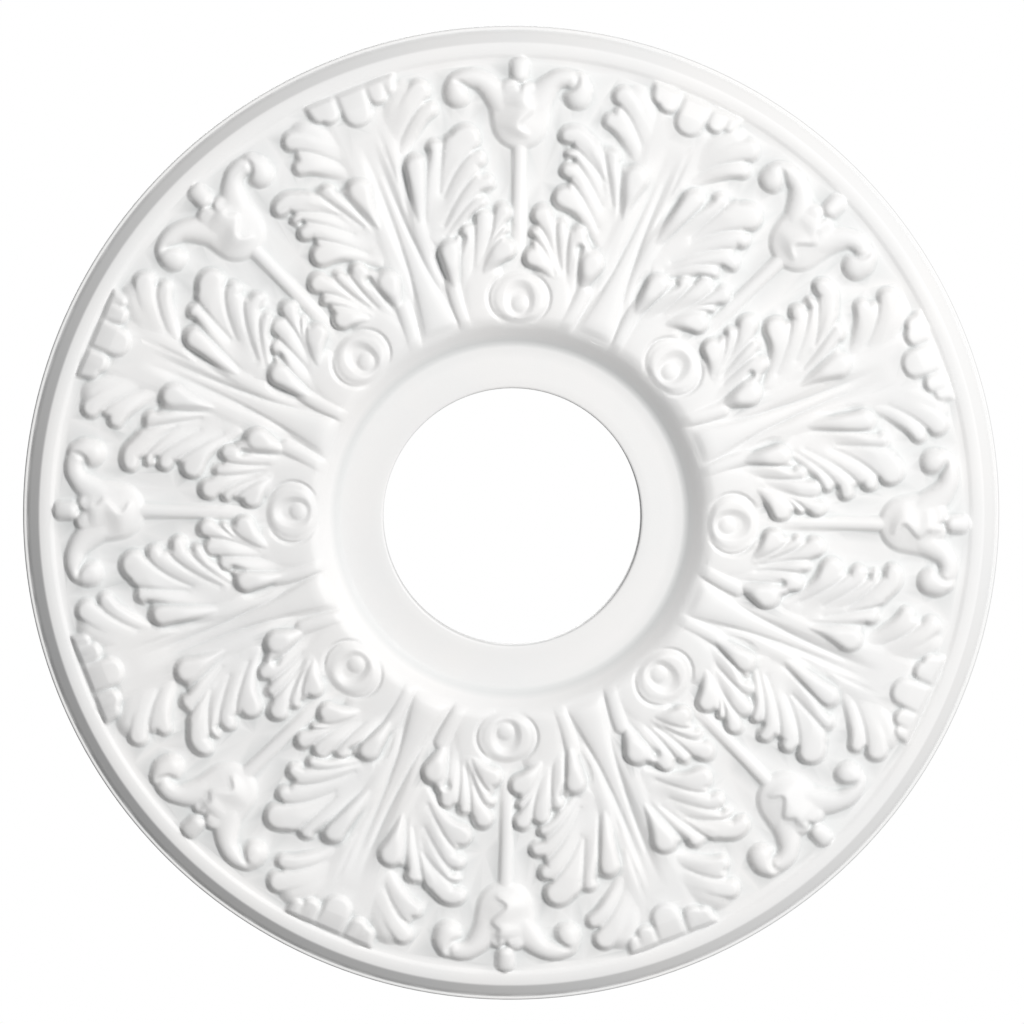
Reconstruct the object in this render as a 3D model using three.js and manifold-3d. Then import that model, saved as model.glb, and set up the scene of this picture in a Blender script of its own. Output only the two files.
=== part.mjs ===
import * as THREE from 'three';
import { mergeVertices } from 'three/addons/utils/BufferGeometryUtils.js';
import Module from 'manifold-3d';

// A round ceiling rose, cast in one piece: a turned disc with a hole for the wires, a dish for the
// lamp's canopy, and acanthus leaves between tulips on its face. Sizes are in millimetres.
// It is drawn face up, with its flat back on z = 0, and turned over at the end to hang under a ceiling.

const REPEATS = 8;
const DISC_SEGMENTS = 48;

// The turned disc, from the hole out
const HOLE_RADIUS = 53.5;
const DISH_RADIUS = 72.5;
const DISH_FLOOR = 10;
const DISH_LIP_RADIUS = 81.5;
const FIELD_TOP = 16.6;
const FIELD_EDGE_RADIUS = 189.5;
const FIELD_EDGE_HEIGHT = 9.9;
const RIM_INNER_RADIUS = 191;
const RIM_RADIUS = 196;
const RIM_HEIGHT = 11;
const COVE_RADIUS = 199;
const COVE_HEIGHT = 6.6;
const DISC_RADIUS = 203;
const EDGE_HEIGHT = 3.6;

// How far the carving stands off the field
const UPPER_RISE = 2.8;
const MIDDLE_RISE = 3.4;
const BASE_RISE = 3.5;
const EYE_RISE = 4;
const ROOT_RISE = 1.4;
const MIDRIB_RISE = 2.2;
const TIP_RISE = 3.4;
const TULIP_RISE = 3.4;
const SEPAL_RISE = 3.6;
const BEAD_RISE = 4.2;
const STEM_RISE = 2.2;
const RING_RISE = 2.8;
const BOSS_RISE = 2.6;
const RUN_OUT_RISE = 0.2;

// How a finger of a leaf is drawn: its bend, the place of its shoulders, the valley beside it
const FINGER_SWEEP = 0.2;
const FINGER_SHOULDER = 0.5;
const BROAD_FINGER = 5.1;
const VALLEY_DEPTH = 0.25;
const ROOT_CROWDING = 0.45;
const SUNK = 1.5;

// How a rounded ridge is drawn
const RIDGE_SIDES = 6;
const RIDGE_FULLNESS = 0.35;

// The two halves of a leaf, outward from its axis: [across, along] for the ends of the line of roots,
// and [across, along, half width] for the middle of each finger's round end, the eye of the frond first
const RIGHT_HALF = {
  side: 1,
  upper: { roots: [[4, 166], [6, 157]], ends: [[27.5, 179.8, 5.3], [29, 170.3, 4.2]] },
  middle: {
    roots: [[9, 131], [13, 120]],
    ends: [[14.8, 151.5, 5.2], [25, 156, 3.6], [38, 154, 6.2], [41, 142.8, 4.2], [40, 132.3, 4]],
  },
  base: {
    roots: [[12, 96], [19, 91]],
    ends: [
      [16, 112.5, 5], [25, 118.5, 3.4], [34, 120.5, 4.6],
      [41.3, 120.3, 3.8], [40, 113.3, 3], [37.5, 104.3, 4.4],
    ],
  },
};
const LEFT_HALF = {
  side: -1,
  upper: { roots: [[4, 166], [6, 157]], ends: [[28.5, 179.3, 5.2], [29, 170, 4.2]] },
  middle: {
    roots: [[7.5, 131], [12, 120]],
    ends: [
      [10.5, 151, 5.2], [22.5, 153.5, 3.3], [43, 154.6, 4.8],
      [40, 148, 3.2], [37.5, 142, 3.5], [34.5, 132, 4.4],
    ],
  },
  base: {
    roots: [[11.5, 98], [19, 92]],
    ends: [
      [13.2, 112.5, 5.6], [23.3, 119.8, 3.2], [30.8, 119.5, 3.2],
      [40.8, 120.8, 4.8], [41.3, 113, 3], [37, 103, 4.6],
    ],
  },
};

// The lobes that hang from the leaf's turned-over tip, placed in the same way
const TIP_OUTER_EDGE = 190;
const TIP_ROOT_HALF_WIDTH = 6.5;
const TIP_LOBES = [
  { root: 13.5, end: [10.6, 184.6], halfWidth: 4.7 },
  { root: 0.5, end: [0.5, 180.8], halfWidth: 5.6 },
  { root: -12.5, end: [-9.4, 184.4], halfWidth: 4.6 },
];

// The midrib, the tulip on its stem and the ringed eye below it, along their own axes
const MIDRIB_FOOT = 81;
const MIDRIB_END = 178;
const MIDRIB_FLARE = 9.4;
const MIDRIB_HALF_WIDTH = 4.6;
const BELL_FOOT = 151.6;
const BELL_TOP = 182;
const BELL_HALF_WIDTH = 16;
const STEM_FOOT = 112;
const STEM_HALF_WIDTH = 4.2;
const BEAD_ALONG = 185.8;
const BEAD_RADIUS = 5.7;
const KNOB_RADIUS = 7;
const RING_ALONG = 91.5;
const RING_RADIUS = 9.2;
const RING_TUBE = 3.6;
const RING_SQUASH = 0.84;
const BOSS_ALONG = 89;
const BOSS_RADIUS = 3.8;

const wasm = await Module();
wasm.setup();

// A closed geometry as a solid that can be joined and cut
function toSolid(geometry) {
  const bare = geometry.clone();
  bare.deleteAttribute('normal');
  bare.deleteAttribute('uv');
  const merged = mergeVertices(bare);
  const corners = merged.index.array;
  const kept = [];
  for (let i = 0; i < corners.length; i += 3) {
    const triangle = [...corners.slice(i, i + 3)];
    if (new Set(triangle).size === 3) kept.push(...triangle);
  }
  const mesh = new wasm.Mesh({
    numProp: 3,
    vertProperties: new Float32Array(merged.attributes.position.array),
    triVerts: new Uint32Array(kept),
  });
  return new wasm.Manifold(mesh);
}

function toGeometry(solid) {
  const mesh = solid.getMesh();
  const geometry = new THREE.BufferGeometry();
  geometry.setAttribute('position', new THREE.BufferAttribute(mesh.vertProperties, 3));
  geometry.setIndex(new THREE.BufferAttribute(mesh.triVerts, 1));
  geometry.computeVertexNormals();
  return geometry;
}

function turnedDisc() {
  const outline = [
    [HOLE_RADIUS, 0],
    [DISC_RADIUS, 0],
    [DISC_RADIUS, EDGE_HEIGHT],
    [COVE_RADIUS, COVE_HEIGHT],
    [RIM_RADIUS, RIM_HEIGHT],
    [RIM_INNER_RADIUS, RIM_HEIGHT],
    [FIELD_EDGE_RADIUS, FIELD_EDGE_HEIGHT],
    [DISH_LIP_RADIUS, FIELD_TOP],
    [DISH_RADIUS, DISH_FLOOR],
    [HOLE_RADIUS, DISH_FLOOR],
    [HOLE_RADIUS, 0],
  ];
  const points = outline.map(([radius, height]) => new THREE.Vector2(radius, height));
  return toSolid(new THREE.LatheGeometry(points, DISC_SEGMENTS).rotateX(Math.PI / 2));
}

// The height of the field, which falls gently from the dish's lip to the rim
function fieldHeight(across, along) {
  const slope = (FIELD_EDGE_HEIGHT - FIELD_TOP) / (FIELD_EDGE_RADIUS - DISH_LIP_RADIUS);
  return FIELD_TOP + slope * (Math.hypot(across, along) - DISH_LIP_RADIUS);
}

function straightPath(start, stop) {
  return new THREE.LineCurve(new THREE.Vector2(...start), new THREE.Vector2(...stop));
}

function bentPath(start, stop, sweep) {
  const [from, to] = [new THREE.Vector2(...start), new THREE.Vector2(...stop)];
  const chord = to.clone().sub(from);
  const upward = new THREE.Vector2(-chord.y, chord.x).multiplyScalar(Math.sign(to.x));
  const bend = from.clone().lerp(to, 0.5).addScaledVector(upward, sweep);
  return new THREE.QuadraticBezierCurve(from, bend, to);
}

// A rounded ridge on the field, swelling at the given stations and running out at both ends of its path
function ridge(path, swells) {
  const runOut = { halfWidth: 0, rise: RUN_OUT_RISE };
  const stations = [{ at: 0, ...runOut }, ...swells, { at: 1, ...runOut }];
  const profile = stations.map(({ halfWidth }, i) => new THREE.Vector2(Math.sign(halfWidth), i));
  const geometry = new THREE.LatheGeometry(profile, RIDGE_SIDES);
  const widest = Math.sin(Math.PI / 3);
  const position = geometry.attributes.position;
  for (let i = 0; i < position.count; i += 1) {
    const { at, halfWidth, rise } = stations[Math.round(position.getY(i))];
    const middle = path.getPointAt(at);
    const tangent = path.getTangentAt(at);
    const aside = (position.getX(i) / widest) * halfWidth;
    const upright = position.getZ(i);
    const lift = Math.sign(upright) * Math.abs(upright) ** RIDGE_FULLNESS * rise;
    const across = middle.x + aside * tangent.y;
    const along = middle.y - aside * tangent.x;
    position.setXYZ(i, across, along, fieldHeight(across, along) + lift);
  }
  return toSolid(geometry);
}

function dome([across, along], radius, rise) {
  const path = straightPath([across, along - radius], [across, along + radius]);
  const halfWidth = 0.92 * radius;
  return ridge(path, [{ at: 0.27, halfWidth, rise }, { at: 0.73, halfWidth, rise }]);
}

// A fan of fingers as one plate, taken from left to right looking along them. A broad finger has
// two shoulders and a narrow one a ridge, with a valley on either side and an end that drops to the field
function fan(fingers) {
  const paths = fingers.map(({ root, end, sweep }) => bentPath(root, end, sweep));
  const lines = fingers.flatMap(({ halfWidth }, i) => {
    const crests = halfWidth < BROAD_FINGER ? [0] : [-FINGER_SHOULDER, FINGER_SHOULDER];
    return [-1, ...crests].map((offset) => ({ i, offset }));
  });
  lines.push({ i: fingers.length, offset: -1 });

  const fingerPoint = (i, offset, at) => {
    const { halfWidth, rootHalfWidth, rise, rootRise } = fingers[i];
    const point = paths[i].getPoint(at);
    const tangent = paths[i].getTangent(at);
    const width = at === 0 ? rootHalfWidth : halfWidth;
    const reach = at * width * Math.sqrt(1 - offset * offset);
    const lift = at === 0 ? rootRise : rise * (1 - VALLEY_DEPTH * offset * offset);
    return new THREE.Vector3(
      point.x + tangent.x * reach + tangent.y * offset * width,
      point.y + tangent.y * reach - tangent.x * offset * width,
      lift,
    );
  };

  const linePoint = ({ i, offset }, at) => {
    if (offset > -1) return fingerPoint(i, offset, at);
    const beside = [];
    if (i > 0) beside.push(fingerPoint(i - 1, 1, at));
    if (i < fingers.length) beside.push(fingerPoint(i, -1, at));
    const sum = beside.reduce((total, point) => total.add(point), new THREE.Vector3());
    return sum.divideScalar(beside.length);
  };

  const strips = lines.length - 1;
  const geometry = new THREE.BoxGeometry(strips, 1, 1, strips, 1, 1);
  const position = geometry.attributes.position;
  for (let i = 0; i < position.count; i += 1) {
    const line = lines[Math.round(position.getX(i) + strips / 2)];
    const point = linePoint(line, position.getY(i) > 0 ? 1 : 0);
    const lift = position.getZ(i) > 0 ? point.z : -SUNK;
    position.setXYZ(i, point.x, point.y, fieldHeight(point.x, point.y) + lift);
  }
  return toSolid(geometry);
}

// A frond of the leaf, whose fingers spring side by side from its line of roots
function frond(side, { roots, ends }, rise, eyeRise = rise) {
  const [first, last] = roots.map((point) => new THREE.Vector2(...point));
  const gaps = ends.length - 1;
  const fingers = ends.map(([across, along, halfWidth], i) => {
    const root = first.clone().lerp(last, i / gaps);
    return {
      root: [side * root.x, root.y],
      end: [side * across, along],
      halfWidth,
      rootHalfWidth: (ROOT_CROWDING * first.distanceTo(last)) / gaps,
      rise: i === 0 ? eyeRise : rise,
      rootRise: ROOT_RISE,
      sweep: i === 0 ? 0 : FINGER_SWEEP,
    };
  });
  return fan(side > 0 ? fingers : fingers.toReversed());
}

function halfLeaf({ side, upper, middle, base }) {
  return [
    frond(side, upper, UPPER_RISE),
    frond(side, middle, MIDDLE_RISE, EYE_RISE),
    frond(side, base, BASE_RISE, EYE_RISE),
  ];
}

// The midrib opens like a trumpet at the dish
function midrib() {
  return ridge(straightPath([0, MIDRIB_FOOT], [0, MIDRIB_END]), [
    { at: 0.01, halfWidth: MIDRIB_FLARE, rise: 0.65 * MIDRIB_RISE },
    { at: 0.2, halfWidth: MIDRIB_HALF_WIDTH, rise: MIDRIB_RISE },
  ]);
}

// The end of the leaf, turned over against the rim
function leafTip() {
  return fan(TIP_LOBES.map(({ root, end, halfWidth }) => ({
    root: [root, TIP_OUTER_EDGE],
    end,
    halfWidth,
    rootHalfWidth: TIP_ROOT_HALF_WIDTH,
    rise: TIP_RISE,
    rootRise: 0.8 * TIP_RISE,
    sweep: 0,
  })));
}

// One sepal, rising from the bell's shoulder and curling over into a round knob
function sepal(side) {
  const bends = [[7, 176], [14, 182], [22, 181.5], [30.5, 174.5]];
  const points = bends.map(([across, along]) => new THREE.Vector2(side * across, along));
  return ridge(new THREE.SplineCurve(points), [
    { at: 0.4, halfWidth: 0.7 * KNOB_RADIUS, rise: SEPAL_RISE },
    { at: 0.8, halfWidth: KNOB_RADIUS, rise: SEPAL_RISE },
  ]);
}

function tulip() {
  const bell = ridge(straightPath([0, BELL_FOOT], [0, BELL_TOP]), [
    { at: 0.1, halfWidth: 0.5 * BELL_HALF_WIDTH, rise: 0.8 * TULIP_RISE },
    { at: 0.3, halfWidth: 0.75 * BELL_HALF_WIDTH, rise: TULIP_RISE },
    { at: 0.85, halfWidth: BELL_HALF_WIDTH, rise: TULIP_RISE },
  ]);
  const stem = ridge(straightPath([0, STEM_FOOT], [0, BELL_FOOT + STEM_HALF_WIDTH]), [
    { at: 0.9, halfWidth: STEM_HALF_WIDTH, rise: STEM_RISE },
  ]);
  return [bell, stem, dome([0, BEAD_ALONG], BEAD_RADIUS, BEAD_RISE), sepal(1), sepal(-1)];
}

// The ringed eye between two leaves, with a boss in its hollow
function ringedEye() {
  const ring = new THREE.TorusGeometry(RING_RADIUS, RING_TUBE, 4, 8);
  ring.scale(1, RING_SQUASH, RING_RISE / RING_TUBE);
  ring.translate(0, RING_ALONG, 0);
  const position = ring.attributes.position;
  for (let i = 0; i < position.count; i += 1) {
    position.setZ(i, position.getZ(i) + fieldHeight(position.getX(i), position.getY(i)));
  }
  return [toSolid(ring), dome([0, BOSS_ALONG], BOSS_RADIUS, BOSS_RISE)];
}

function roseSolid() {
  const join = (parts) => parts.reduce((whole, part) => whole.add(part));
  const leaf = join([...halfLeaf(RIGHT_HALF), ...halfLeaf(LEFT_HALF), midrib(), leafTip()]);
  const flower = join([...tulip(), ...ringedEye()]);
  const step = 360 / REPEATS;
  const copies = [];
  for (let i = 0; i < REPEATS; i += 1) {
    copies.push(flower.rotate([0, 0, -step * i]), leaf.rotate([0, 0, -step * (i + 0.5)]));
  }
  return join([turnedDisc(), ...copies]);
}

const paintedCasting = new THREE.MeshStandardMaterial({ color: 0xf1f1ee, roughness: 0.6, metalness: 0 });
const rose = new THREE.Mesh(toGeometry(roseSolid()), paintedCasting);
rose.name = 'ceiling_rose';
rose.rotation.x = Math.PI;

const group = new THREE.Group();
group.add(rose);

export default group;
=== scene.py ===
"""The looks of a round white ceiling rose, carved with acanthus leaves between tulips.

Carving is worked out in millimetres on one eighth of the face, in two flat frames: a leaf's and a
tulip's. In each, along runs outward from the middle of the rose and across to the right of it.
"""

import math

import bpy
import numpy as np
from mathutils import Matrix, Vector


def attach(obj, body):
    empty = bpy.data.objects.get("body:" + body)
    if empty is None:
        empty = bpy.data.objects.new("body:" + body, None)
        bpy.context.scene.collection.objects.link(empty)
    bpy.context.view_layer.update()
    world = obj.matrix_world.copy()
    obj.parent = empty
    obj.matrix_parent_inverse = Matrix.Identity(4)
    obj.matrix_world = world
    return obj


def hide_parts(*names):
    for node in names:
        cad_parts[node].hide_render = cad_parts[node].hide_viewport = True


MM = 0.001
REPEATS = 8
TRIANGLES = 185000
SHARP_ANGLE = math.radians(62)
# The name of the painted shade kept on the points of the face, greyer where the face lies low
PAINTED_SHADE = "recess_shade"

# The turned disc, from the hole out to the edge: radius and height over the ceiling
HOLE_RADIUS = 53.5
DISC_RADIUS = 203.0
FACE_PROFILE = [
    (53.5, 9.7), (53.9, 10.1), (54.6, 10.2), (58, 10.1), (66, 10.0), (70.5, 10.0), (72, 10.25),
    (73.5, 11.1), (76, 13.2), (78, 15.0), (79.6, 16.1), (81, 16.6), (83, 16.75), (88, 16.55),
    (100, 15.2), (120, 13.5), (140, 12.1), (160, 11.1), (175, 10.55), (187.5, 10.3), (189.4, 10.3),
    (190.1, 10.5), (190.9, 10.9), (191.8, 11.05), (195.4, 11.1), (195.9, 10.95), (196.4, 10.5),
    (197.2, 9.7), (198.2, 8.7), (199.4, 7.6), (200.4, 6.6), (201.0, 5.8), (201.4, 5.3), (201.8, 5.2),
    (202.3, 5.35), (202.7, 5.1), (203, 4.3),
]
# The height of the one ring of points on the outer edge, and of the one on the wall of the hole
EDGE_RING = 1.8
HOLE_RING = 6.0

# The carved part of the face and where the carving rises out of the dish's edge. The carving is drawn
# larger than it comes out, by the shrinkage.
CARVED_FROM = 76.0
CARVED_TO = 191.0
RELIEF_STARTS = (78.5, 85)
SHRINKAGE = 1.008
COLUMNS = 200
PLAIN_STEP = 1.5
CARVED_STEP = 0.5
RIM_STEP = 0.4

# How far along a line each of its stations lies
STATIONS = 36
SHARES = np.linspace(0, 1, STATIONS)
ROOT_MIDDLE_END = (0, 0.5, 1)

CROWN_BREADTH = 2.4
CROWN_FULLNESS = 0.6
FLUTE_HOLLOW = 1.7


def smooth_step(value, low, high):
    share = np.clip((value - low) / (high - low), 0, 1)
    return share * share * (3 - 2 * share)


def at(places, stops):
    """The value at each place, on straight lines between the stops."""
    return np.interp(places, *zip(*stops))


def rising(rise, root_share, full_at):
    """Heights along a line, from a share of the rise at its root to the whole of it."""
    return rise * (root_share + (1 - root_share) * smooth_step(SHARES, 0, full_at))


def softened(field, passes):
    """Each place evened out with the places beside it, so many times over."""
    for _ in range(passes):
        padded = np.pad(field, 1, mode="edge")
        field = (padded[:-2, 1:-1] + 2 * padded[1:-1, 1:-1] + padded[2:, 1:-1]) / 4
        padded = np.pad(field, 1, mode="edge")
        field = (padded[1:-1, :-2] + 2 * padded[1:-1, 1:-1] + padded[1:-1, 2:]) / 4
    return field


def coated(eighth, coats):
    """An eighth of the face, which repeats to both sides, as if under so many coats of paint."""
    return softened(np.tile(eighth, (1, 3)), coats)[:, COLUMNS : 2 * COLUMNS]


def bend_through(start, middle, stop, count=STATIONS, lead=0.0):
    """A curve from start to stop that passes through the middle, with a lead before the start."""
    start, middle, stop = (np.asarray(point, float) for point in (start, middle, stop))
    pull = 2 * middle - (start + stop) / 2
    share = np.linspace(-lead, 1, count)[:, None]
    return (1 - share) ** 2 * start + 2 * share * (1 - share) * pull + share**2 * stop


def straight(start, stop):
    return bend_through(start, np.add(start, stop) / 2, stop)


def through_points(points):
    """A smooth curve through all the points."""
    points = np.asarray(points, float)
    ends = np.vstack([2 * points[0] - points[1], points, 2 * points[-1] - points[-2]])
    curve = []
    for place in np.linspace(0, len(points) - 1 - 1e-6, STATIONS):
        i = int(place)
        t = place - i
        before, here, there, after = ends[i : i + 4]
        slope = (there - before) * t
        bend = (2 * before - 5 * here + 4 * there - after) * t**2
        turn = (3 * here - before - 3 * there + after) * t**3
        curve.append(0.5 * (2 * here + slope + bend + turn))
    return np.array(curve)


def round_top(distance, half_width):
    return np.clip(1 - (distance / half_width) ** CROWN_BREADTH, 0, 1) ** CROWN_FULLNESS


def groove_side(distance, half_width):
    return np.clip(1 - distance / half_width, 0, 1)


def flute_side(distance, half_width):
    return groove_side(distance, half_width) ** FLUTE_HOLLOW


def edged(edge, steepness=2.0):
    """A flat top with a rounded edge of the given width, steepest at its foot."""

    def top(distance, half_width):
        return 1 - (1 - np.clip((half_width - distance) / edge, 0, 1)) ** steepness

    return top


class Carving:
    """One eighth of the face, seen in the frame of one leaf or tulip."""

    def __init__(self, across, along):
        self.across = across
        self.along = along

    def blank(self):
        return np.zeros_like(self.across)

    def band(self, path, half_widths, rises, top):
        """The highest of round pads set close together along a path."""
        best = self.blank()
        half_widths = np.broadcast_to(half_widths, len(path))
        rises = np.broadcast_to(rises, len(path))
        reach = max(half_widths)
        low, high = path.min(axis=0) - reach, path.max(axis=0) + reach
        near = (self.across > low[0]) & (self.across < high[0])
        near &= (self.along > low[1]) & (self.along < high[1])
        across, along = self.across[near], self.along[near]
        local = np.zeros_like(across)
        for (x, y), half_width, rise in zip(path, half_widths, rises):
            distance = np.hypot(across - x, along - y)
            np.maximum(local, rise * top(distance, half_width), out=local)
        best[near] = local
        return best

    def dome(self, centre, radius, rise):
        return self.band(np.array([centre], float), radius, rise, round_top)


# The two halves of the leaf. For each frond: the ends of its line of roots; the half widths of a finger
# at its root and middle; for each finger, the middle and the end of its line and the half width of its
# end; the root, middle and end of its eye's line and the half widths there; and the creases between the
# fingers, each from its notch through its middle to its end. For the fold and the apron: the root,
# middle and end of its line and its half width, and the apron's rise.
RIGHT_HALF = {
    "side": 1,
    "upper": {
        "roots": [(7, 164), (9, 157)],
        "half_widths": (4.2, 4.8),
        "fingers": [((18, 172.8), (28.2, 179.2), 5.4), ((20, 166.8), (29.6, 170.8), 3.9)],
        "creases": [[(33.5, 175), (23, 171.4), (11, 160)]],
    },
    "middle": {
        "roots": [(10.5, 123), (13.5, 116)],
        "half_widths": (2.4, 4.4),
        "fingers": [
            ((20.2, 144), (26, 154.2), 4.6),
            ((28.6, 147), (39.4, 153.8), 6.4),
            ((30, 140.4), (40.8, 144.2), 4.0),
            ((28, 132), (40.6, 133.4), 4.0),
            ((25, 124.8), (35.6, 127.2), 3.0),
        ],
        "eye": ((6.6, 121), (11.4, 136.5), (15.8, 150.4), 1.6, 3.8, 5.8),
        "creases": [
            [(21.6, 153.5), (16, 140), (9, 123)],
            [(31, 158.5), (26.6, 149.5), (21, 137)],
            [(45.6, 148.4), (35, 146), (22, 135)],
            [(45, 138.8), (34, 137), (18, 124)],
            [(43, 129.6), (33, 129.6), (17, 119.5)],
        ],
    },
    "base": {
        "roots": [(17, 93), (19, 97)],
        "half_widths": (3.4, 3.8),
        "fingers": [
            ((21.8, 108.5), (26.2, 118), 3.8),
            ((28, 110.5), (34, 120), 5.0),
            ((33.5, 112), (42.2, 119.8), 4.6),
            ((32, 107.6), (39.6, 113.6), 3.4),
            ((29.5, 102.8), (38, 105.4), 4.9),
        ],
        "eye": ((11.8, 93), (14, 104), (16.4, 112.6), 1.4, 3.6, 5.8),
        "creases": [
            [(22.4, 115.5), (18, 106), (12.6, 91.5)],
            [(30, 121.5), (26.6, 112), (21, 100)],
            [(39.6, 124), (35.4, 115), (27, 103.5)],
            [(45, 115.6), (37, 112.6), (29, 105)],
            [(43.5, 110), (34.5, 109.2), (24, 99)],
        ],
    },
    "fold": [(11.3, 79), (11.3, 90), (12.4, 101), 3.2],
    "apron": [(8, 160), (13, 171), (21, 179.5), 7.5, 3.0],
}
LEFT_HALF = {
    "side": -1,
    "upper": {
        "roots": [(7, 164), (9, 157)],
        "half_widths": (4.2, 4.6),
        "fingers": [((18, 173), (28, 178.8), 4.9), ((19.6, 164.8), (28.8, 167.6), 3.8)],
        "creases": [[(32.5, 174.4), (22.6, 171.8), (10, 160)]],
    },
    "middle": {
        "roots": [(9, 126), (12.5, 119)],
        "half_widths": (2.4, 4.2),
        "fingers": [
            ((17.8, 144), (22.4, 153.2), 4.6),
            ((30, 151.4), (42.4, 154.8), 4.4),
            ((27, 145.8), (38.8, 147.9), 2.8),
            ((25, 138.4), (36.4, 141.6), 4.2),
            ((23.5, 128), (33.6, 130.6), 5.4),
        ],
        "eye": ((6, 122), (8.6, 137.5), (10, 149.6), 1.4, 2.8, 6.2),
        "creases": [
            [(17.4, 152.6), (13.6, 142), (7.4, 128)],
            [(28.8, 158), (22, 148), (14, 135.5)],
            [(46, 150.2), (37, 150.8), (21, 143.5)],
            [(42.4, 145.4), (34, 145.2), (18.5, 134)],
            [(40.6, 137.8), (31, 136), (16, 124.5)],
        ],
    },
    "base": {
        "roots": [(16.5, 93), (18.5, 97)],
        "half_widths": (3.4, 3.8),
        "fingers": [
            ((18.8, 109), (22.4, 119.4), 4.0),
            ((26, 110.5), (30.4, 119.2), 3.6),
            ((31.5, 112.5), (39.2, 120.2), 5.0),
            ((31.5, 108.4), (39, 112.6), 2.9),
            ((28, 101.4), (35.6, 103), 4.8),
        ],
        "eye": ((12.4, 96.5), (12.4, 103.8), (12.6, 110.4), 1.2, 3.6, 6.0),
        "creases": [
            [(19.6, 113.4), (17.2, 106.4), (14, 97)],
            [(27.4, 122), (24.6, 112), (20.5, 102)],
            [(34.6, 124), (30.4, 114), (23.5, 103)],
            [(43.4, 115.8), (36, 114), (27, 105)],
            [(43, 109.4), (35, 108.4), (25, 100)],
        ],
    },
    "fold": [(13, 79), (11.4, 88), (10.6, 98), 3.4],
    "apron": [(8, 160), (14, 171), (22, 179), 7.2, 2.8],
}
FRONDS = ("upper", "middle", "base")
PLATE_RISE = {"upper": 3.7, "middle": 4.5, "base": 4.5}
PLATE_ROOT_SHARE = {"upper": 0.35, "middle": 0.4, "base": 0.2}
PLATE_FULL_AT = 0.85
PLATE_EDGE = 3.2
PLATE_STEEPNESS = 3.0
FIRST_WEB_END = 0.84
WEB_END = {"upper": 0.8, "middle": 0.82, "base": 0.85}
WEB_SHARES = (0.25, 0.5, 0.75)
EYE_RISE = 5.6
EYE_ROOT_SHARE = 0.3
EYE_FULL_AT = 0.8
EYE_EDGE = 5.0
EYE_STEEPNESS = 4.0
CREASE_DEPTH = {"upper": 1.4, "middle": 1.6, "base": 1.5, "tip": 1.1}
CREASE_HALF_WIDTH = 1.2
CREASE_LEAD = 0.05
CREASE_FADE = 0.65
EYE_NOTCH = {"upper": 1.0, "middle": 1.8, "base": 1.8, "tip": 1.0}
NOTCH_LENGTH = 0.3
FLUTE_DEPTH = {"upper": 0.9, "middle": 0.9, "base": 0.9, "tip": 0.4}
FLUTE_HALF_WIDTH = 4.6
CUT_FROM = (0.2, 2)
OUTWARD_FALL = 1.7
FOOT_LINE = [(19, 79), (20.5, 90), (25, 97.5)]
FOOT_HALF_WIDTH = 8.5
FOOT_RISES = (0.7, 1)
FOOT_RISE = 1.6
FOOT_EDGE = 4.5
FOLD_RISES = (1.5, 2.1)
APRON_FULL_AT = 0.9
APRON_EDGE_SHARE = 0.8


def finger_lines(kind, roots, half_widths, fingers):
    """Each finger of a frond as its line, its half width along the line and its height there."""
    first, last = (np.array(point, float) for point in roots)
    rises = rising(PLATE_RISE[kind], PLATE_ROOT_SHARE[kind], PLATE_FULL_AT)
    lines = []
    for i, (middle, end, half_width) in enumerate(fingers):
        root = first + (last - first) * i / (len(fingers) - 1)
        widths = np.interp(SHARES, ROOT_MIDDLE_END, [*half_widths, half_width])
        lines.append((bend_through(root, middle, end), widths, rises))
    return lines


def eye_line(root, middle, end, *half_widths):
    """The eye as its line, its half width along the line and its height there."""
    widths = np.interp(SHARES, ROOT_MIDDLE_END, half_widths)
    return bend_through(root, middle, end), widths, rising(EYE_RISE, EYE_ROOT_SHARE, EYE_FULL_AT)


def webs(lines, kind):
    """The plate between each two fingers, which stops short of their ends."""
    for i, (line, next_line) in enumerate(zip(lines, lines[1:])):
        count = int((WEB_END[kind] if i else FIRST_WEB_END) * STATIONS)
        for share in WEB_SHARES:
            yield [(here + share * (there - here))[:count] for here, there in zip(line, next_line)]


def creases(carving, side, kind, lines):
    """The cuts between the fingers and the flutes round them; the one beside an eye opens in a notch."""
    depth = carving.blank()
    fading = 1 - CREASE_FADE * SHARES
    for i, line in enumerate(lines):
        path = bend_through(*line, lead=CREASE_LEAD) * (side, 1)
        opening = at(SHARES, [(0, 1 if i else EYE_NOTCH[kind]), (NOTCH_LENGTH, 1)])
        cut_depths = CREASE_DEPTH[kind] * opening * fading
        cut = carving.band(path, CREASE_HALF_WIDTH * opening, cut_depths, groove_side)
        flute = carving.band(path, FLUTE_HALF_WIDTH, FLUTE_DEPTH[kind] * fading, flute_side)
        depth = np.maximum(depth, cut + flute)
    return depth


def creased(height, cut):
    """The carving with the creases cut into it, less deep where it is low."""
    return np.clip(height - cut * smooth_step(height, *CUT_FROM), 0, None)


def frond(carving, side, kind, shape):
    """A fan of fingers, which is one plate before it is creased, and an eye beside the midrib."""
    height = carving.blank()
    lines = finger_lines(kind, shape["roots"], shape["half_widths"], shape["fingers"])
    pads = [*lines, *webs(lines, kind)]
    if "eye" in shape:
        path, widths, rises = eye_line(*shape["eye"])
        pads += webs([(path, widths, lines[0][2]), lines[0]], kind)
        height = carving.band(path * (side, 1), widths, rises, edged(EYE_EDGE, EYE_STEEPNESS))
    top = edged(PLATE_EDGE, PLATE_STEEPNESS)
    for path, widths, rises in pads:
        height = np.maximum(height, carving.band(path * (side, 1), widths, rises, top))
    return height


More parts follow.
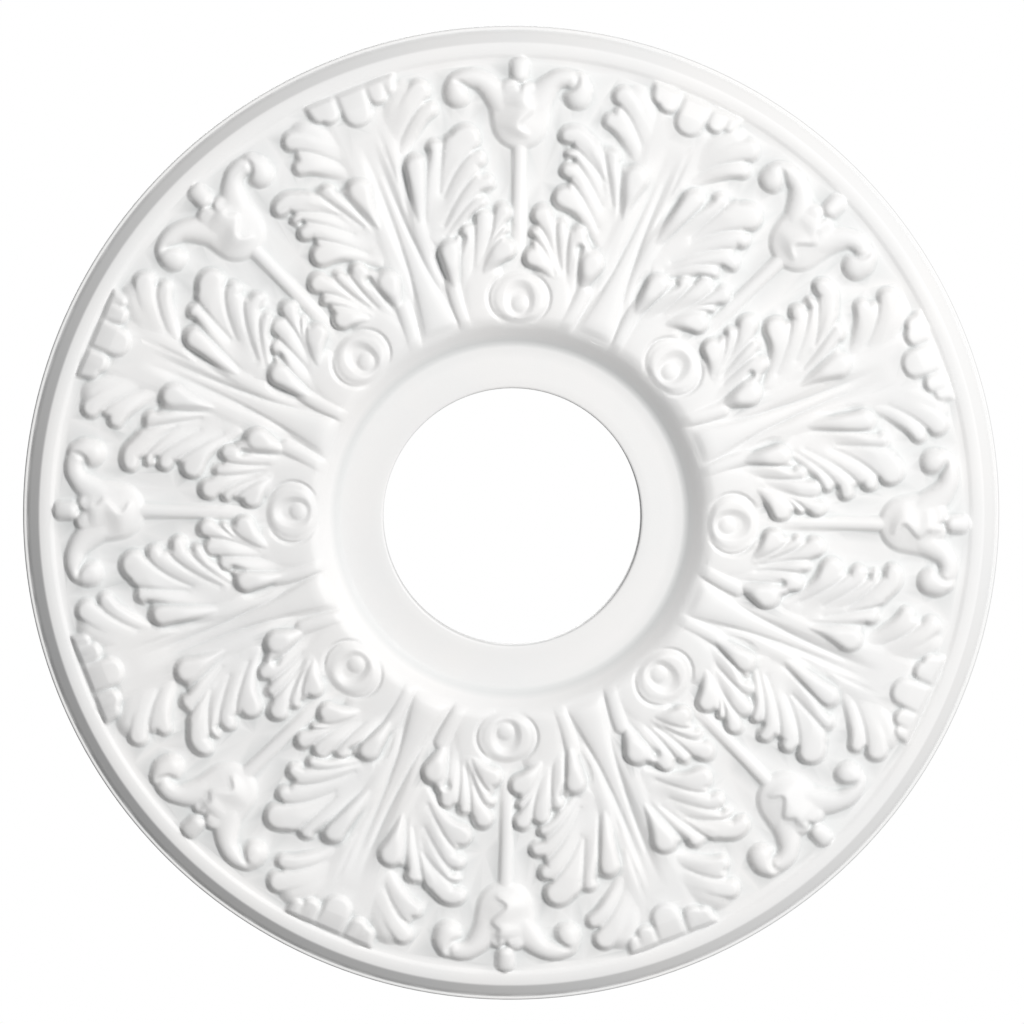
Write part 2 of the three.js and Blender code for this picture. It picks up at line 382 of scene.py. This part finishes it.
def rolled_off(carving, height):
    """The same carving, nowhere falling outward more steeply than the leaf's rolled edges do."""
    rings = np.hypot(carving.across[:, 0], carving.along[:, 0])
    for i in range(1, len(rings)):
        fall = OUTWARD_FALL * (rings[i] - rings[i - 1])
        np.maximum(height[i], height[i - 1] - fall, out=height[i])
    return height


def apron(carving, side, root, middle, end, half_width, rise):
    """The smooth web of the leaf under its upper frond."""
    path = bend_through(root, middle, end) * (side, 1)
    top = edged(APRON_EDGE_SHARE * half_width)
    return carving.band(path, half_width, rising(rise, 0, APRON_FULL_AT), top)


def foot(carving, side):
    """The low foot of the half leaf, beside the ringed eye."""
    path = bend_through(*FOOT_LINE) * (side, 1)
    rises = FOOT_RISE * np.linspace(*FOOT_RISES, STATIONS)
    return carving.band(path, FOOT_HALF_WIDTH, rises, edged(FOOT_EDGE))


def fold(carving, side, root, middle, end, half_width):
    """The fold beside the midrib's trumpet."""
    path = bend_through(root, middle, end) * (side, 1)
    return carving.band(path, half_width, np.linspace(*FOLD_RISES, STATIONS), round_top)


def half_leaf(carving, half):
    side = half["side"]
    height = carving.blank()
    cut = carving.blank()
    for kind in FRONDS:
        cut = np.maximum(cut, creases(carving, side, kind, half[kind]["creases"]))
        height = np.maximum(height, frond(carving, side, kind, half[kind]))
    height = np.maximum(rolled_off(carving, height), apron(carving, side, *half["apron"]))
    parts = [creased(height, cut), foot(carving, side), fold(carving, side, *half["fold"])]
    return np.maximum.reduce(parts)


# The blade between the fronds and the midrib: along, and the half width or the rise there
BLADE_HALF_WIDTHS = [(96, 12), (104, 15), (118, 17), (155, 17), (165, 20), (176, 21), (186, 17)]
BLADE_RISES = [(98, 0), (112, 1.5), (124, 2.2), (142, 2.2), (160, 2.0), (178, 1.9), (187, 0)]
BLADE_EDGE = (0.45, 1)
MIDDLE_ACROSS = 0.5
HOLLOW_DEPTH = 1.7
HOLLOW_HALF_WIDTH = 4.4
HOLLOW_STARTS = (104, 122)
HOLLOW_ENDS = (146, 170)
MIDRIB_HALF_WIDTHS = [(80, 9.2), (88, 7.8), (95, 6.6), (102, 5.1), (110, 4.0), (125, 3.0), (178, 1.4)]
MIDRIB_RISES = [(80, 1.5), (90, 2.1), (100, 2.2), (110, 1.9), (125, 1.1), (150, 0.8), (172, 0.0)]
MIDRIB_STARTS = (78, 87)


def blade(carving):
    """The low flat of the leaf between its fronds, hollowed along the midrib."""
    along = carving.along
    aside = np.abs(carving.across) / at(along, BLADE_HALF_WIDTHS)
    flat = at(along, BLADE_RISES) * (1 - smooth_step(aside, *BLADE_EDGE))
    hollow = np.exp(-(((carving.across - MIDDLE_ACROSS) / HOLLOW_HALF_WIDTH) ** 4))
    hollow *= smooth_step(along, *HOLLOW_STARTS) * (1 - smooth_step(along, *HOLLOW_ENDS))
    return np.clip(flat - HOLLOW_DEPTH * hollow, 0, None)


def midrib(carving):
    """The midrib, which opens like a trumpet at the dish."""
    along = carving.along
    aside = np.clip(np.abs(carving.across - MIDDLE_ACROSS) / at(along, MIDRIB_HALF_WIDTHS), 0, 1)
    return at(along, MIDRIB_RISES) * round_top(aside, 1) * smooth_step(along, *MIDRIB_STARTS)


# The lobes of the turned-over tip: where each starts and ends and its half width; the creases between
# them; and the share of its height that the tip keeps as it slopes to the rim
TIP_LOBES = [
    ((-14.4, 190), (-13.6, 185.6), 4.6),
    ((-10.4, 190), (-9.6, 184.4), 5.4),
    ((1.6, 190), (1.4, 180.8), 7.2),
    ((12.2, 190), (11.8, 184.6), 5.2),
    ((17.4, 190), (16.8, 185.8), 4.0),
]
TIP_CREASES = [
    [(-5.8, 179.5), (-5.8, 182.5), (-6.2, 187)],
    [(7.6, 179.5), (7.6, 182.5), (7.6, 187)],
    [(15.6, 182), (15.4, 184.5), (15.4, 187.5)],
]
TIP_SLOPE = [(182, 1), (188.6, 0.62), (190.9, 0)]
TIP_RISE = 4.2
TIP_EDGE = 3.0


def leaf_tip(carving):
    """The end of the leaf, turned over in lobes that slope down to the rim."""
    top = edged(TIP_EDGE, PLATE_STEEPNESS)
    height = carving.blank()
    for root, end, half_width in TIP_LOBES:
        height = np.maximum(height, carving.band(straight(root, end), half_width, TIP_RISE, top))
    height = height * at(carving.along, TIP_SLOPE)
    return creased(height, creases(carving, 1, "tip", TIP_CREASES))


# The hollows that set the right half's eyes off from the blade, each from its outer end to its inner
# one, with the shares of its half width and depth on the way
POCKETS = [[(9.8, 152), (8, 142), (6, 131)], [(10.2, 115), (9.6, 107), (10.6, 98)]]
POCKET_HALF_WIDTH = 2.2
POCKET_WIDTHS = [(0, 0.8), (0.3, 1), (1, 0.4)]
POCKET_DEPTH = 1.3
POCKET_DEPTHS = [(0, 0.3), (0.2, 1), (0.6, 0.8), (1, 0)]


def pockets(carving):
    depth = carving.blank()
    widths = POCKET_HALF_WIDTH * at(SHARES, POCKET_WIDTHS)
    depths = POCKET_DEPTH * at(SHARES, POCKET_DEPTHS)
    for line in POCKETS:
        depth = np.maximum(depth, carving.band(bend_through(*line), widths, depths, round_top))
    return depth


# The fine lines along the midrib, each from the tip's side to the dish, with the shares of their depth
VEINS = [
    [(3.0, 166), (3.2, 124), (8.6, 84)],
    [(-2.2, 166), (-2.0, 124), (-6.8, 84)],
    [(6.4, 172), (6.2, 150), (5.4, 128)],
]
VEIN_STATIONS = 3 * STATIONS
VEIN_HALF_WIDTH = 1.1
VEIN_DEPTH = 0.7
VEIN_DEPTHS = [(0, 0), (0.3, 1), (0.8, 1), (1, 0.3)]


def veins(carving):
    depth = carving.blank()
    depths = VEIN_DEPTH * at(np.linspace(0, 1, VEIN_STATIONS), VEIN_DEPTHS)
    for line in VEINS:
        path = bend_through(*line, count=VEIN_STATIONS)
        depth = np.maximum(depth, carving.band(path, VEIN_HALF_WIDTH, depths, groove_side))
    return depth


def leaf(carving):
    parts = [
        half_leaf(carving, RIGHT_HALF),
        half_leaf(carving, LEFT_HALF),
        blade(carving),
        midrib(carving),
        leaf_tip(carving),
    ]
    return np.maximum.reduce(parts) - pockets(carving) - veins(carving)


# The bell: its line, its wall and the keel that it swells to. The tips of its two petals: where each
# starts and ends and its half width. The edge of the petal that laps over the other: along, across.
BELL_LINE = [(-0.3, 165.2), (-0.3, 169), (-0.3, 173)]
BELL_HALF_WIDTHS = (12.2, 13.4)
BELL_ENDS = (175, 183)
WALL_RISE = 1.6
WALL_EDGE = 2.4
WALL_STEEPNESS = 2.2
KEEL_RISE = 2.6
KEEL_EDGE = 12.5
KEEL_STEEPNESS = 1.35
PETAL_TIPS = [((-2.8, 171), (-4.8, 178.4), 4.4), ((1.8, 171), (2.8, 178), 3.9)]
PETAL_TIP_RISE = 3.2
PETAL_TIP_EDGE = 2.4
PETAL_TIP_STEEPNESS = 2.4
PETAL_EDGE = [
    (156, 3), (160, 3.6), (161.8, -0.4), (164, -1.2), (167, 2.2), (169.6, 5.2), (171.4, 4.8),
    (172.8, 1.6), (176, 2.6), (179.5, 1.6), (183, -0.6),
]
PETAL_EDGE_SHIFTS = (-1, -0.5, 0, 0.5, 1)
LIP_RISE = 1.4
LIP_INSIDE = 0.4
LIP_OUTSIDE = 0.9
LIP_BREADTH = 7
LIP_STARTS = (157, 161)
LIP_ENDS = (178, 182)
LIP_FROM = (0.8, 2.4)


def bell(carving):
    """The tulip's bell, keeled along its middle, where the left petal laps the right one."""
    across, along = carving.across, carving.along
    path = bend_through(*BELL_LINE)
    widths = np.linspace(*BELL_HALF_WIDTHS, STATIONS)
    height = carving.band(path, widths, WALL_RISE, edged(WALL_EDGE, WALL_STEEPNESS))
    height += carving.band(path, widths, KEEL_RISE, edged(KEEL_EDGE, KEEL_STEEPNESS))
    height *= 1 - smooth_step(along, *BELL_ENDS)
    tip_top = edged(PETAL_TIP_EDGE, PETAL_TIP_STEEPNESS)
    for root, end, half_width in PETAL_TIPS:
        tip = carving.band(straight(root, end), half_width, PETAL_TIP_RISE, tip_top)
        height = np.maximum(height, tip)
    wave = np.mean([at(along + shift, PETAL_EDGE) for shift in PETAL_EDGE_SHIFTS], axis=0)
    lip = 1 - smooth_step(across, wave - LIP_INSIDE, wave + LIP_OUTSIDE)
    lip = lip * np.exp(-(((across - wave) / LIP_BREADTH) ** 2))
    lip *= smooth_step(along, *LIP_STARTS) * (1 - smooth_step(along, *LIP_ENDS))
    return height + softened(LIP_RISE * lip, 1) * smooth_step(height, *LIP_FROM)


# The crest of each sepal, from the bell over into its scroll, the knob the scroll ends in and the
# groove that winds in between them
LEFT_SEPAL = {
    "crest": [(-7, 172), (-12.6, 178.4), (-17.6, 181.8), (-22.6, 182.4), (-27, 180.6), (-28.6, 177.6)],
    "knob": [(-27.2, 177.4), (-26.9, 176.4), (-26.6, 175.8)],
    "groove": [(-28.4, 181.2), (-24.8, 180), (-22, 177.4), (-20.6, 173.6)],
}
RIGHT_SEPAL = {
    "crest": [(6, 172), (10.8, 179.2), (15.2, 182.6), (19.6, 183), (22.8, 181.4)],
    "knob": [(23.4, 181), (24.4, 178.4), (23.6, 175.8)],
    "groove": [(22.4, 186), (23.2, 182.2), (21, 179), (17, 177.6)],
}
CREST_HALF_WIDTHS = [(0, 6.4), (0.35, 4.3), (1, 3.8)]
CREST_RISE = 3.4
KNOB_HALF_WIDTHS = (5.2, 5.9)
KNOB_RISE = 4.2
SCROLL_GROOVE_HALF_WIDTH = 1.8
SCROLL_GROOVE_DEPTH = 1.9
SCROLL_GROOVE_DEPTHS = [(0, 0), (0.3, 1), (1, 1)]
SCROLL_GROOVE_FROM = (0.3, 2)


def sepals(carving):
    """The two sepals, which curl over into scrolls."""
    height = carving.blank()
    crest_widths = at(SHARES, CREST_HALF_WIDTHS)
    knob_widths = np.linspace(*KNOB_HALF_WIDTHS, STATIONS)
    depths = SCROLL_GROOVE_DEPTH * at(SHARES, SCROLL_GROOVE_DEPTHS)
    for sepal in (LEFT_SEPAL, RIGHT_SEPAL):
        crest = carving.band(through_points(sepal["crest"]), crest_widths, CREST_RISE, round_top)
        knob = carving.band(through_points(sepal["knob"]), knob_widths, KNOB_RISE, round_top)
        groove_path = through_points(sepal["groove"])
        groove = carving.band(groove_path, SCROLL_GROOVE_HALF_WIDTH, depths, groove_side)
        scroll = np.maximum(crest, knob)
        height = np.maximum(height, scroll - groove * smooth_step(scroll, *SCROLL_GROOVE_FROM))
    return height


# The ringed eye between two leaves. For the ring and its hollow: half the breadth across and along, and
# the middle; for the boss: its middle, radius and rise
RING = (12.4, 10.8, (0.7, 91.8))
RING_RISE = 1.8
RING_EDGE = 0.3
RING_HOLLOW = (5.6, 7.2, (0.9, 91.2))
RING_HOLLOW_SIDE = (0.6, 1.25)
RING_HOLLOW_DEPTH = 0.9
BOSS = ((1.3, 89.2), 3.9, 1.3)
RING_GROOVE_DEPTH = 0.75
RING_GROOVE_PLACE = 1.03
RING_GROOVE_BREADTH = 0.06


def oval_share(carving, half_across, half_along, middle):
    """How far out from the middle of an oval each place lies, with 1 at its edge."""
    across = (carving.across - middle[0]) / half_across
    return np.hypot(across, (carving.along - middle[1]) / half_along)


def ringed_eye(carving):
    """The eye between two leaves: a broad ring with a boss in its hollow."""
    ring = RING_RISE * edged(RING_EDGE)(oval_share(carving, *RING), 1)
    hollow = 1 - smooth_step(oval_share(carving, *RING_HOLLOW), *RING_HOLLOW_SIDE)
    return np.maximum(ring * (1 - RING_HOLLOW_DEPTH * hollow), carving.dome(*BOSS))


def ring_groove(carving):
    """The groove that parts the ring from the feet of the leaves, as a share of their height."""
    outside = oval_share(carving, *RING) - RING_GROOVE_PLACE
    return RING_GROOVE_DEPTH * np.exp(-((outside / RING_GROOVE_BREADTH) ** 2))


STEM_LINE = [(-0.2, 154), (-0.2, 131), (0, 108)]
STEM_STATIONS = 2 * STATIONS
STEM_HALF_WIDTHS = (3.1, 2.6)
STEM_RISES = [(0, 2.3), (0.7, 1.8), (1, 0)]
BEAD_LINE = [(-0.8, 184.8), (-0.8, 186.4), (-0.8, 188)]
BEAD_HALF_WIDTH = 4.2
BEAD_RISE = 4.6
BEAD_SLOPE = [(181, 1), (192, 0.5)]


def stem(carving):
    path = bend_through(*STEM_LINE, count=STEM_STATIONS)
    widths = np.linspace(*STEM_HALF_WIDTHS, STEM_STATIONS)
    return carving.band(path, widths, at(np.linspace(0, 1, STEM_STATIONS), STEM_RISES), round_top)


def bead(carving):
    """The bead between the petals and the rim, which slopes to the rim."""
    height = carving.band(bend_through(*BEAD_LINE), BEAD_HALF_WIDTH, BEAD_RISE, round_top)
    return height * at(carving.along, BEAD_SLOPE)


def tulip(carving):
    parts = [bell(carving), sepals(carving), bead(carving), stem(carving), ringed_eye(carving)]
    return np.maximum.reduce(parts)


def turned(across, along, angle):
    """The same points in a frame turned clockwise by the angle."""
    return (
        across * math.cos(angle) - along * math.sin(angle),
        across * math.sin(angle) + along * math.cos(angle),
    )


def face_radii():
    """The rings of the face from the hole out, close where the face is carved or turned."""
    corners = [radius for radius, _ in FACE_PROFILE]
    inner = np.arange(HOLE_RADIUS, CARVED_FROM, PLAIN_STEP)
    carved = np.arange(CARVED_FROM, CARVED_TO, CARVED_STEP)
    outer = np.arange(CARVED_TO, DISC_RADIUS, RIM_STEP)
    return np.unique(np.round(np.concatenate([inner, carved, outer, corners]), 3))


def eighth_of_face(radii):
    """Height over the ceiling on one eighth of the face, from one tulip's axis to the next."""
    angles = (np.arange(COLUMNS) / COLUMNS - 0.5) * 2 * math.pi / REPEATS
    ring, angle = np.meshgrid(radii, angles, indexing="ij")
    across, along = SHRINKAGE * ring * np.sin(angle), SHRINKAGE * ring * np.cos(angle)
    relief = leaf(Carving(across, along))
    for side in (-1, 1):
        carving = Carving(*turned(across, along, side * math.pi / REPEATS))
        relief = np.maximum(relief * (1 - ring_groove(carving)), tulip(carving))
    return at(ring, FACE_PROFILE) + smooth_step(ring, *RELIEF_STARTS) * coated(relief, 1)


# Painted shade: how deep a place must lie below what is round about before its paint is greyed
RECESS_SHADE_COATS = 14
RECESS_SHADE_DEPTHS = (0.05, 0.9)


def recess_shade_mask(eighth):
    """Painted shade: where the face lies lower than what is round about, and shade falls."""
    return smooth_step(coated(eighth, RECESS_SHADE_COATS) - eighth, *RECESS_SHADE_DEPTHS)


def rose_mesh():
    """The whole rose: the carved face, the edge, the flat back and the wall of the hole."""
    radii = face_radii()
    eighth = eighth_of_face(radii)
    steps = COLUMNS * REPEATS
    angles = (np.arange(steps) / COLUMNS) * 2 * math.pi / REPEATS
    flat = np.zeros(steps)
    rings = list(zip(radii, np.tile(eighth, (1, REPEATS))))
    rings += [(DISC_RADIUS, flat + EDGE_RING), (DISC_RADIUS, flat)]
    rings += [(0.5 * (DISC_RADIUS + HOLE_RADIUS), flat)]
    rings += [(HOLE_RADIUS, flat), (HOLE_RADIUS, flat + HOLE_RING)]
    points = [
        np.stack([radius * np.sin(angles), -radius * np.cos(angles), -row], axis=1) for radius, row in rings
    ]
    column = np.arange(steps)
    beside = (column + 1) % steps
    faces = []
    for i in range(len(rings)):
        here = i * steps
        there = ((i + 1) % len(rings)) * steps
        faces.append(np.stack([here + beside, there + beside, there + column, here + column], axis=1))
    mesh = bpy.data.meshes.new("ceiling_rose_casting")
    mesh.from_pydata(np.concatenate(points) * MM, [], np.concatenate(faces))
    mesh.update()
    # The painted shade of the low places, kept on the points of the carved face
    shade = np.zeros((len(rings), steps), np.float32)
    shade[: len(radii)] = np.tile(recess_shade_mask(eighth), (1, REPEATS))
    mesh.attributes.new(PAINTED_SHADE, "FLOAT", "POINT").data.foreach_set("value", shade.ravel())
    return mesh


WARM_WHITE = (0.876, 0.864, 0.852)
COOL_WHITE = (0.852, 0.848, 0.842)
# Painted shade: the grey that the low places of the face are painted towards
RECESS_SHADE_GREY = (0.70, 0.71, 0.705)
ROUGHNESS = (0.5, 0.62)
SPECULAR = 0.35
MOTTLE_SCALE = 26
MOTTLE_DETAIL = 4
MOTTLE_SPAN = (0.3, 0.7)
GRAIN_SCALE = 1300
GRAIN_DETAIL = 2
GRAIN_STRENGTH = 0.15
GRAIN_DEPTH = 0.1 * MM


def painted_casting():
    """Satin white paint: a little uneven, with painted shade where the face lies low, and a fine grain."""
    material = bpy.data.materials.new("painted_casting")
    material.use_nodes = True
    nodes, links = material.node_tree.nodes, material.node_tree.links
    shader = nodes["Principled BSDF"]
    shader.inputs["Specular IOR Level"].default_value = SPECULAR
    place = nodes.new("ShaderNodeTexCoord")

    def noise(scale, detail):
        node = nodes.new("ShaderNodeTexNoise")
        node.inputs["Scale"].default_value = scale
        node.inputs["Detail"].default_value = detail
        links.new(place.outputs["Object"], node.inputs["Vector"])
        return node.outputs["Fac"]

    def spread(value, low, high):
        node = nodes.new("ShaderNodeMapRange")
        node.inputs["From Min"].default_value = MOTTLE_SPAN[0]
        node.inputs["From Max"].default_value = MOTTLE_SPAN[1]
        node.inputs["To Min"].default_value = low
        node.inputs["To Max"].default_value = high
        links.new(value, node.inputs["Value"])
        return node.outputs["Result"]

    def blend(share, first, second):
        node = nodes.new("ShaderNodeMix")
        node.data_type = "RGBA"
        links.new(share, node.inputs["Factor"])
        for socket, colour in (("A_Color", first), ("B_Color", second)):
            plug = next(entry for entry in node.inputs if entry.identifier == socket)
            if isinstance(colour, tuple):
                plug.default_value = (*colour, 1)
            else:
                links.new(colour, plug)
        return next(entry for entry in node.outputs if entry.identifier == "Result_Color")

    mottle = noise(MOTTLE_SCALE, MOTTLE_DETAIL)
    grain = noise(GRAIN_SCALE, GRAIN_DETAIL)
    recess_shade = nodes.new("ShaderNodeAttribute")
    recess_shade.attribute_name = PAINTED_SHADE
    paint = blend(spread(mottle, 0, 1), WARM_WHITE, COOL_WHITE)
    # Painted shade: the paint greyed where the face lies low
    links.new(blend(recess_shade.outputs["Fac"], paint, RECESS_SHADE_GREY), shader.inputs["Base Color"])
    links.new(spread(mottle, *ROUGHNESS), shader.inputs["Roughness"])
    bump = nodes.new("ShaderNodeBump")
    bump.inputs["Strength"].default_value = GRAIN_STRENGTH
    bump.inputs["Distance"].default_value = GRAIN_DEPTH
    links.new(grain, bump.inputs["Height"])
    links.new(bump.outputs["Normal"], shader.inputs["Normal"])
    return material


def cast_rose():
    """The rose, with its points thinned out where the face is plain."""
    mesh = rose_mesh()
    casting = bpy.data.objects.new("ceiling_rose_casting", mesh)
    bpy.context.scene.collection.objects.link(casting)
    thin = casting.modifiers.new("thin", "DECIMATE")
    thin.ratio = TRIANGLES / (2 * len(mesh.polygons))
    graph = bpy.context.evaluated_depsgraph_get()
    thinned = bpy.data.meshes.new_from_object(casting.evaluated_get(graph))
    casting.modifiers.clear()
    casting.data = thinned
    thinned.shade_smooth()
    thinned.set_sharp_from_angle(angle=SHARP_ANGLE)
    thinned.materials.clear()
    thinned.materials.append(painted_casting())
    return casting


def camera():
    """The camera under the rose, a little off its axis and turned a little, as in the photograph."""
    distance = 2.0
    width = 0.4244
    off_up, off_left, roll = math.radians(4.0), math.radians(1.2), math.radians(1.18)
    target = Vector((-0.0002, -0.0022, -0.011))
    back = Vector((-math.sin(off_left), -math.sin(off_up), -math.cos(off_up))).normalized()
    up = Vector((-math.sin(roll), -math.cos(roll), 0))
    right = up.cross(back).normalized()
    up = back.cross(right)
    data = bpy.data.cameras.new("camera")
    data.lens = data.sensor_width * distance / width
    viewer = bpy.data.objects.new("camera", data)
    viewer.matrix_world = Matrix((right, up, back)).transposed().to_4x4()
    viewer.location = target + back * distance
    bpy.context.scene.collection.objects.link(viewer)
    bpy.context.scene.camera = viewer


def pale_floor():
    """A pale floor far below the rose."""
    half = 6.0
    level = -4.2
    mesh = bpy.data.meshes.new("floor")
    corners = [(-half, -half, level), (half, -half, level), (half, half, level), (-half, half, level)]
    mesh.from_pydata(corners, [], [(0, 1, 2, 3)])
    floor = bpy.data.objects.new("floor", mesh)
    bpy.context.scene.collection.objects.link(floor)
    pale = bpy.data.materials.new("pale_floor")
    pale.use_nodes = True
    shader = pale.node_tree.nodes["Principled BSDF"]
    shader.inputs["Base Color"].default_value = (0.8, 0.8, 0.8, 1)
    shader.inputs["Roughness"].default_value = 0.9
    mesh.materials.append(pale)
    floor.visible_diffuse = False


def pale_room():
    """A dim pale room, which is seen as white behind the rose."""
    world = bpy.data.worlds.new("studio")
    bpy.context.scene.world = world
    world.use_nodes = True
    nodes, links = world.node_tree.nodes, world.node_tree.links
    room = nodes["Background"]
    room.inputs["Color"].default_value = (0.97, 0.985, 1, 1)
    room.inputs["Strength"].default_value = 0.17
    white = nodes.new("ShaderNodeBackground")
    white.inputs["Color"].default_value = (1, 1, 1, 1)
    white.inputs["Strength"].default_value = 1.0
    path = nodes.new("ShaderNodeLightPath")
    mix = nodes.new("ShaderNodeMixShader")
    links.new(path.outputs["Is Camera Ray"], mix.inputs["Fac"])
    links.new(room.outputs["Background"], mix.inputs[1])
    links.new(white.outputs["Background"], mix.inputs[2])
    links.new(mix.outputs["Shader"], nodes["World Output"].inputs["Surface"])


def lights():
    """A soft light to the right of the face, and one overhead for the back and the floor."""
    distance = 4.0
    turn, lift = math.radians(57), math.radians(57.5)
    lamp = bpy.data.lights.new("soft_light", "AREA")
    lamp.shape = "DISK"
    lamp.size = 1.1
    lamp.energy = 154
    light = bpy.data.objects.new("soft_light", lamp)
    toward = Vector((math.sin(turn) * math.cos(lift), -math.cos(turn) * math.cos(lift), -math.sin(lift)))
    light.location = toward * distance
    light.rotation_mode = "QUATERNION"
    light.rotation_quaternion = toward.to_track_quat("Z", "Y")
    bpy.context.scene.collection.objects.link(light)

    overhead = bpy.data.lights.new("overhead_light", "SUN")
    overhead.energy = 2.5
    overhead.angle = math.radians(40)
    above = bpy.data.objects.new("overhead_light", overhead)
    above.rotation_euler = (math.radians(24), math.radians(-16), 0)
    bpy.context.scene.collection.objects.link(above)


def studio():
    bpy.context.scene.view_settings.view_transform = "Standard"
    pale_floor()
    pale_room()
    lights()


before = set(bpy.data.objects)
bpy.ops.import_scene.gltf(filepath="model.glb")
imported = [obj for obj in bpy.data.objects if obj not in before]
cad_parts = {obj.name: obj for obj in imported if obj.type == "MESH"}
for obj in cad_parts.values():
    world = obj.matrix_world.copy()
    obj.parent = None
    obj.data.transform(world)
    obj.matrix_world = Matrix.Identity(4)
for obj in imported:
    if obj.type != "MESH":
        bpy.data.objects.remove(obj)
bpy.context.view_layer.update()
camera()
studio()
rose = cast_rose()
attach(rose, "root")
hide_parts("ceiling_rose")
